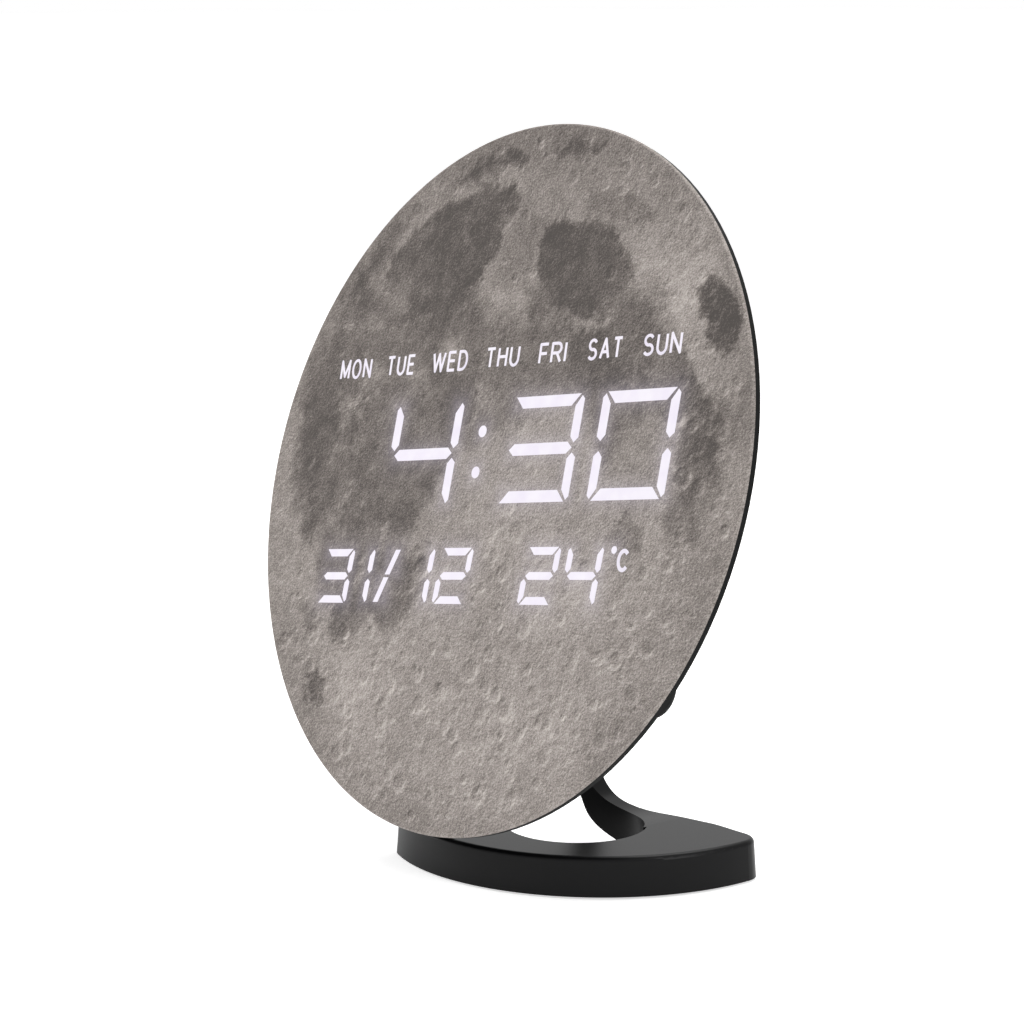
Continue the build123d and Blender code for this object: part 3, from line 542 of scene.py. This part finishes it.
def moonMaterial():
    material, tree, shader = newMaterial("moonPrint")
    coords = objectCoords(tree)
    shifted = linkedNode(tree, "ShaderNodeVectorMath", {0: coords}, operation="ADD")
    shifted.inputs[1].default_value = (faceUp - faceRight).normalized() * grain["step"] * mm
    heights, litHeights = grainHeights(tree, coords), grainHeights(tree, shifted.outputs["Vector"])
    total = addNode(tree, "ShaderNodeAttribute", attribute_name="moonTone").outputs["Fac"]
    for here, there, lift in zip(heights, litHeights, grain["lifts"]):
        total = mathNode(tree, "MULTIPLY_ADD", mathNode(tree, "SUBTRACT", here, there), lift, total)
    speckle = noiseNode(tree, coords, *grain["speckle"])
    total = mathNode(tree, "ADD", total, rangeNode(tree, speckle, -grain["speckleLift"], grain["speckleLift"]))
    stops = [(position, linear(*colour)) for position, colour in moonLook["tones"]]
    tree.links.new(rampNode(tree, total, stops), shader.inputs["Base Color"])
    stone = heights[0]
    tree.links.new(bumpNode(tree, stone, moonLook["bump"], moonLook["bumpDepth"] * mm), shader.inputs["Normal"])
    tree.links.new(rangeNode(tree, stone, *moonLook["rough"]), shader.inputs["Roughness"])
    shader.inputs["Specular IOR Level"].default_value = moonLook["specular"]
    shader.inputs["Emission Color"].default_value = (*linear(*moonLook["glow"]), 1.0)
    glow = addNode(tree, "ShaderNodeAttribute", attribute_name="moonGlow").outputs["Fac"]
    tree.links.new(mathNode(tree, "MULTIPLY", glow, moonLook["bleed"]), shader.inputs["Emission Strength"])
    return material


def buildMoonFace():
    count, flat = moonPrint["grid"], face["radius"] - face["edgeRound"]
    gridU, gridV = concentricGrid(count)
    u, v = gridU.ravel() * flat, gridV.ravel() * flat
    tone, relief = paintMoon(u, v)
    lowest, highest = relief.min(), relief.max()
    calm = smoothStep(moonPrint["calmFrom"], moonPrint["calmTo"], np.hypot(u, v))
    w = -moonPrint["reliefDepth"] * (highest - relief) / (highest - lowest) * calm
    points, tones = [np.stack([u, v, w], 1)], [tone]
    index = np.arange((count + 1) ** 2).reshape(count + 1, count + 1)
    corners = [index[:-1, :-1], index[:-1, 1:], index[1:, 1:], index[1:, :-1]]
    faces = np.stack(corners, -1).reshape(-1, 4).tolist()

    loop = np.concatenate([index[0, :-1], index[:-1, -1], index[-1, :0:-1], index[:0:-1, 0]])
    around = np.arctan2(v[loop], u[loop])
    loopU, loopV, ringCount = np.cos(around), np.sin(around), len(loop)
    inset, back = face["radius"] - face["step"], face["thickness"]
    profile = []
    for turn in face["edgeTurns"]:
        out, down = math.sin(math.radians(turn)), math.cos(math.radians(turn)) - 1
        profile.append((flat + face["edgeRound"] * out, face["edgeRound"] * down))
    profile += [(face["radius"], -face["lip"]), (inset, -face["lip"]), (inset, -back)]
    edgeTone, _ = paintMoon(loopU * flat, loopV * flat)
    previous, start = loop, len(u)
    for ringRadius, depth in profile:
        points.append(np.stack([loopU * ringRadius, loopV * ringRadius, np.full(ringCount, depth)], 1))
        tones.append(edgeTone + face["edgeLift"])
        ring = np.arange(start, start + ringCount)
        faces += np.stack([previous, ring, np.roll(ring, -1), np.roll(previous, -1)], 1).tolist()
        previous, start = ring, start + ringCount
    points.append(np.array([[0.0, 0.0, -back]]))
    tones.append(np.array([moonPrint["backTone"]]))
    faces += np.stack([previous, np.full(ringCount, start), np.roll(previous, -1)], 1).tolist()

    local = np.concatenate(points)
    moonFace = meshObject("moonFace", local, faces, moonMaterial(), smooth=True)
    mesh = moonFace.data
    bm = bmesh.new()
    bm.from_mesh(mesh)
    bmesh.ops.recalc_face_normals(bm, faces=bm.faces)
    bm.to_mesh(mesh)
    bm.free()
    painted = {"moonTone": np.concatenate(tones), "moonGlow": glowOnFace(local[:, 0], local[:, 1])}
    for name, values in painted.items():
        attribute = mesh.attributes.new(name, "FLOAT", "POINT")
        attribute.data.foreach_set("value", values.astype(np.float32))
    mesh.transform(faceMatrix)
    mesh.update()
    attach(moonFace, "head")
    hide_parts("front_panel")


buildMoonFace()
print("moon face painted")


# the lit marks stand a little proud of the print
litLook = {"cloudScale": 160.0, "cloudDetail": 2.0, "glow": ((0.3, (240, 233, 247)), (0.7, (249, 245, 252))),
           "unlit": (118, 114, 122), "roughness": 0.5, "strength": 0.7}


def litMaterial():
    material, tree, shader = newMaterial("litSegments")
    patches = noiseNode(tree, objectCoords(tree), litLook["cloudScale"], litLook["cloudDetail"])
    stops = [(position, linear(*colour)) for position, colour in litLook["glow"]]
    tree.links.new(rampNode(tree, patches, stops), shader.inputs["Emission Color"])
    shader.inputs["Base Color"].default_value = (*linear(*litLook["unlit"]), 1.0)
    shader.inputs["Roughness"].default_value = litLook["roughness"]
    shader.inputs["Emission Strength"].default_value = litLook["strength"]
    return material


litWhite = litMaterial()


def litPiece(name, outlines):
    verts, faces = [], []
    for outline in outlines:
        doubleArea = sum(u0 * v1 - u1 * v0 for (u0, v0), (u1, v1) in zip(outline, outline[1:] + outline[:1]))
        inOrder = outline if doubleArea > 0 else outline[::-1]
        base = list(range(len(verts), len(verts) + len(inOrder)))
        lid = [corner + len(inOrder) for corner in base]
        verts += [(u, v, w) for w in (-display["sunk"], display["proud"]) for u, v in inOrder]
        faces += [base[::-1], lid]
        faces += [(base[i - 1], base[i], lid[i], lid[i - 1]) for i in range(len(inOrder))]
    piece = meshObject(name, verts, faces, litWhite)
    piece.data.transform(faceMatrix)
    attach(piece, "head")


litPiece("litTime", timeOutlines)
litPiece("litDate", dateOutlines)
litPiece("litWarmth", warmthOutlines)

# plain capitals: left and right edge of each word on the face, then the letters' strokes in a unit box
weekdayRow = {"row": 38.1, "height": 7.6, "stroke": 1.08, "gap": 1.2}
weekdayWords = (("MON", -93.2, -75.0), ("TUE", -66.0, -50.0), ("WED", -40.2, -20.6), ("THU", -10.8, 7.0),
                ("FRI", 17.2, 31.2), ("SAT", 42.0, 58.9), ("SUN", 69.0, 87.2))
degreeRow = {"row": -34.0, "height": 7.8, "stroke": 1.4, "gap": 0.0}
degreeWord = ("C", 70.2, 76.0)
jointSides, closedWithin = 12, 1e-6


def arc(middleX, middleY, reachX, reachY, start, end, count):
    turns = [math.radians(start + (end - start) * i / count) for i in range(count + 1)]
    return [(middleX + reachX * math.cos(turn), middleY + reachY * math.sin(turn)) for turn in turns]


letterWidths = {"M": 1.0, "O": 0.95, "N": 0.85, "T": 0.8, "U": 0.82, "E": 0.7, "W": 1.25, "D": 0.82,
                "H": 0.82, "F": 0.66, "R": 0.8, "I": 0.0, "S": 0.78, "A": 0.88, "C": 0.8}
letterStrokes = {
    "M": [[(0, 0), (0, 1), (0.5, 0.12), (1, 1), (1, 0)]],
    "O": [arc(0.5, 0.5, 0.5, 0.5, 0, 360, 24)],
    "N": [[(0, 0), (0, 1), (1, 0), (1, 1)]],
    "T": [[(0, 1), (1, 1)], [(0.5, 1), (0.5, 0)]],
    "U": [[(0, 1)] + arc(0.5, 0.36, 0.5, 0.36, 180, 360, 12) + [(1, 1)]],
    "E": [[(1, 1), (0, 1), (0, 0), (1, 0)], [(0, 0.52), (0.92, 0.52)]],
    "W": [[(0, 1), (0.25, 0), (0.5, 0.95), (0.75, 0), (1, 1)]],
    "D": [[(0, 0), (0, 1)] + arc(0.42, 0.5, 0.58, 0.5, 90, -90, 12) + [(0, 0)]],
    "H": [[(0, 0), (0, 1)], [(1, 0), (1, 1)], [(0, 0.52), (1, 0.52)]],
    "F": [[(1, 1), (0, 1), (0, 0)], [(0, 0.5), (0.9, 0.5)]],
    "R": [[(0, 0), (0, 1)] + arc(0.6, 0.74, 0.38, 0.26, 90, -90, 8) + [(0, 0.48)], [(0.55, 0.48), (1, 0)]],
    "I": [[(0, 0), (0, 1)]],
    "S": [arc(0.5, 0.745, 0.47, 0.255, 28, 262, 12) + arc(0.5, 0.255, 0.5, 0.255, 82, -152, 12)],
    "A": [[(0, 0), (0.5, 1), (1, 0)], [(0.2, 0.33), (0.8, 0.33)]],
    "C": [arc(0.52, 0.5, 0.52, 0.5, 42, 318, 18)],
}


def strokeOutlines(points, half):
    outlines = []
    for (x0, y0), (x1, y1) in zip(points, points[1:]):
        length = math.hypot(x1 - x0, y1 - y0)
        acrossX, acrossY = -(y1 - y0) / length * half, (x1 - x0) / length * half
        outlines.append([(x0 + acrossX, y0 + acrossY), (x0 - acrossX, y0 - acrossY),
                         (x1 - acrossX, y1 - acrossY), (x1 + acrossX, y1 + acrossY)])
    joints = points[1:-1]
    if math.dist(points[0], points[-1]) < closedWithin:
        joints = joints + points[:1]
    return outlines + [ringOutline(*joint, half, jointSides) for joint in joints]


def wordOutlines(word, left, right, row, height, stroke, gap):
    half = stroke / 2
    natural = sum(letterWidths[letter] for letter in word)
    room = right - left - gap * (len(word) - 1) - stroke * len(word)
    outlines, x = [], left
    for letter in word:
        width = room * letterWidths[letter] / natural
        for points in letterStrokes[letter]:
            placed = [(x + half + px * width, row + half + py * (height - stroke)) for px, py in points]
            outlines += strokeOutlines(placed, half)
        x += width + stroke + gap
    return outlines


weekdayOutlines = [outline for place in weekdayWords for outline in wordOutlines(*place, **weekdayRow)]
litPiece("litWeekdays", weekdayOutlines)
litPiece("litDegree", wordOutlines(*degreeWord, **degreeRow))
print("lit display done")


# cross-head screws in mm: one tree sets them wherever the places are, with the head at the given depth
screws = {"headRadius": 2.8, "shankRadius": 1.45, "armReach": 1.5, "armWidth": 0.75, "armDepth": 0.95}
screwMake = {"sides": 32, "recessFloor": 0.15, "turnSeed": 7}
screwRows = {
    "coverScrews": {"node": "cover_screws", "body": "head", "depth": -32.5, "length": 12.9,
                    "places": ((-65.4, -70.2), (65.4, -70.2), (-65.4, 44.6), (65.4, 44.6))},
    "shellScrews": {"node": "shell_screws", "body": "head", "depth": -14.0, "length": 9.55,
                    "places": ((-94.1, -17.3), (94.1, -17.3), (0.0, -17.3), (8.0, 32.6), (-60.0, 32.6),
                               (60.0, 32.6))},
    "footScrews": {"node": "foot_screws", "body": "stand", "depth": 0.8, "length": 10.45,
                   "places": ((-8.0, -25.6775), (46.0, -6.6775), (62.0, 31.3225))},
}
bodyMatrix = {"head": faceMatrix, "stand": Matrix.Scale(mm, 4)}


def screwTree():
    tree = bpy.data.node_groups.new("crossHeadScrews", "GeometryNodeTree")

    def socket(label, kind, way="INPUT"):
        return tree.interface.new_socket(label, in_out=way, socket_type="NodeSocket" + kind).identifier

    def vector(**parts):
        return linkedNode(tree, "ShaderNodeCombineXYZ", parts).outputs["Vector"]

    def taper(bottom, top, depth):
        sizes = {"Radius Bottom": bottom, "Radius Top": top, "Depth": depth}
        cone = linkedNode(tree, "GeometryNodeMeshCone", sizes)
        cone.inputs["Vertices"].default_value = screwMake["sides"]
        return cone.outputs["Mesh"]

    socket("places", "Geometry")
    keys = {label: socket(label, "Float") for label in (*screws, "length")}
    keys["finish"] = socket("finish", "Material")
    socket("screws", "Geometry", "OUTPUT")
    given = addNode(tree, "NodeGroupInput").outputs
    headRadius, shankRadius, armWidth = given["headRadius"], given["shankRadius"], given["armWidth"]

    head = taper(headRadius, shankRadius, mathNode(tree, "SUBTRACT", headRadius, shankRadius))
    shankStart = mathNode(tree, "ADD", given["armDepth"], screwMake["recessFloor"])
    shankLength = mathNode(tree, "SUBTRACT", given["length"], shankStart)
    shank = linkedNode(tree, "GeometryNodeTransform", {
        "Geometry": taper(shankRadius, shankRadius, shankLength), "Translation": vector(Z=shankStart)})
    whole = addNode(tree, "GeometryNodeMeshBoolean", operation="UNION", solver="EXACT")
    for part in (head, shank.outputs["Geometry"]):
        tree.links.new(part, whole.inputs["Mesh 2"])
    recess = addNode(tree, "GeometryNodeMeshBoolean", operation="DIFFERENCE", solver="EXACT")
    tree.links.new(whole.outputs["Mesh"], recess.inputs["Mesh 1"])
    armLength = mathNode(tree, "MULTIPLY", given["armReach"], 2.0)
    armHeight = mathNode(tree, "MULTIPLY", given["armDepth"], 2.0)
    for x, y in ((armLength, armWidth), (armWidth, armLength)):
        arm = linkedNode(tree, "GeometryNodeMeshCube", {"Size": vector(X=x, Y=y, Z=armHeight)})
        tree.links.new(arm.outputs["Mesh"], recess.inputs["Mesh 2"])

    turn = addNode(tree, "FunctionNodeRandomValue", data_type="FLOAT_VECTOR")
    turn.inputs["Max"].default_value = (0.0, 0.0, math.pi / 2)
    turn.inputs["Seed"].default_value = screwMake["turnSeed"]
    spread = linkedNode(tree, "GeometryNodeInstanceOnPoints", {
        "Points": given["places"], "Instance": recess.outputs["Mesh"], "Rotation": turn.outputs["Value"]})
    real = linkedNode(tree, "GeometryNodeRealizeInstances", {"Geometry": spread.outputs["Instances"]})
    dressed = linkedNode(tree, "GeometryNodeSetMaterial", {
        "Geometry": real.outputs["Geometry"], "Material": given["finish"]})
    linkedNode(tree, "NodeGroupOutput", {"screws": dressed.outputs["Geometry"]})
    return tree, keys


screwNodes, screwKeys = screwTree()
for name, row in screwRows.items():
    spots = bpy.data.meshes.new(name + "Places")
    spots.from_pydata([(x, y, row["depth"]) for x, y in row["places"]], [], [])
    piece = addObject(name, spots)
    modifier = piece.modifiers.new("screws", "NODES")
    modifier.node_group = screwNodes
    for label, value in {**screws, "length": row["length"], "finish": materials["screwSteel"]}.items():
        modifier[screwKeys[label]] = value
    made = bpy.data.meshes.new_from_object(piece.evaluated_get(bpy.context.evaluated_depsgraph_get()))
    piece.modifiers.clear()
    piece.data = made
    bpy.data.meshes.remove(spots)
    made.transform(bodyMatrix[row["body"]])
    made.update()
    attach(piece, row["body"])
    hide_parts(row["node"])
    print("screws set:", name, len(row["places"]), "of", len(made.polygons), "faces")


# floor, light and camera, in metres
floor = {"half": 30.0, "tone": 0.86, "lift": 0.6, "roughness": 0.8, "specular": 0.1}
surround = {"ambient": 0.45, "seen": 1.0}
lamps = {
    "topSoft": {"place": (-0.1, 0.35, 1.3), "aim": (0.0, 0.0, 0.1), "size": 1.1, "power": 14.0},
    "frontSoft": {"place": (-0.7, -1.3, 0.9), "aim": (0.0, 0.0, 0.13), "size": 1.0, "power": 11.0},
    "rightSoft": {"place": (1.4, 0.3, 0.8), "aim": (0.0, 0.0, 0.1), "size": 0.8, "power": 7.0},
    "lowLeft": {"place": (-1.0, -0.75, 0.22), "aim": (-0.02, -0.03, 0.03), "size": 0.5, "power": 1.6},
}
# the photo's camera: focal length and frame in pixels, place in mm from the middle of the face
camera = {"focal": 3038.74, "frame": 1024.0, "sensor": 36.0, "azimuth": 51.170, "pitch": 9.820,
          "fromFace": (808.85, -641.09, 165.81)}


def seenDirectly(tree):
    path = addNode(tree, "ShaderNodeLightPath").outputs
    seen = path["Is Camera Ray"]
    for kind in ("Is Glossy Ray", "Is Transmission Ray"):
        seen = mathNode(tree, "MAXIMUM", seen, path[kind])
    return seen


def floorMaterial():
    material, tree, shader = newMaterial("paleFloor")
    shader.inputs["Base Color"].default_value = (floor["tone"], floor["tone"], floor["tone"], 1.0)
    shader.inputs["Roughness"].default_value = floor["roughness"]
    shader.inputs["Specular IOR Level"].default_value = floor["specular"]
    shader.inputs["Emission Color"].default_value = (1.0, 1.0, 1.0, 1.0)
    lift = mathNode(tree, "MULTIPLY", seenDirectly(tree), floor["lift"])
    tree.links.new(lift, shader.inputs["Emission Strength"])
    return material


floorCorners = [(x * floor["half"], y * floor["half"], 0) for x, y in ((-1, -1), (1, -1), (1, 1), (-1, 1))]
studioFloor = meshObject("studioFloor", floorCorners, [(0, 1, 2, 3)], floorMaterial())

world = bpy.data.worlds.new("studio")
bpy.context.scene.world = world
world.use_nodes = True
background = world.node_tree.nodes["Background"]
worldLevel = rangeNode(world.node_tree, seenDirectly(world.node_tree), surround["ambient"], surround["seen"])
world.node_tree.links.new(worldLevel, background.inputs["Strength"])
background.inputs["Color"].default_value = (1.0, 1.0, 1.0, 1.0)

for name, lamp in lamps.items():
    light = bpy.data.lights.new(name, "AREA")
    light.shape = "DISK"
    light.size = lamp["size"]
    light.energy = lamp["power"]
    holder = addObject(name, light)
    holder.location = lamp["place"]
    aim = Vector(lamp["aim"]) - Vector(lamp["place"])
    holder.rotation_euler = aim.to_track_quat("-Z", "Y").to_euler()

cameraData = bpy.data.cameras.new("photoCamera")
cameraData.sensor_width = camera["sensor"]
cameraData.lens = camera["sensor"] * camera["focal"] / camera["frame"]
photoCamera = addObject("photoCamera", cameraData)
photoCamera.location = faceCentre + Vector(camera["fromFace"]) * mm
photoCamera.rotation_euler = (math.radians(90 - camera["pitch"]), 0.0, math.radians(camera["azimuth"]))
bpy.context.scene.camera = photoCamera
bpy.context.scene.view_settings.view_transform = "Standard"
print("stage done")
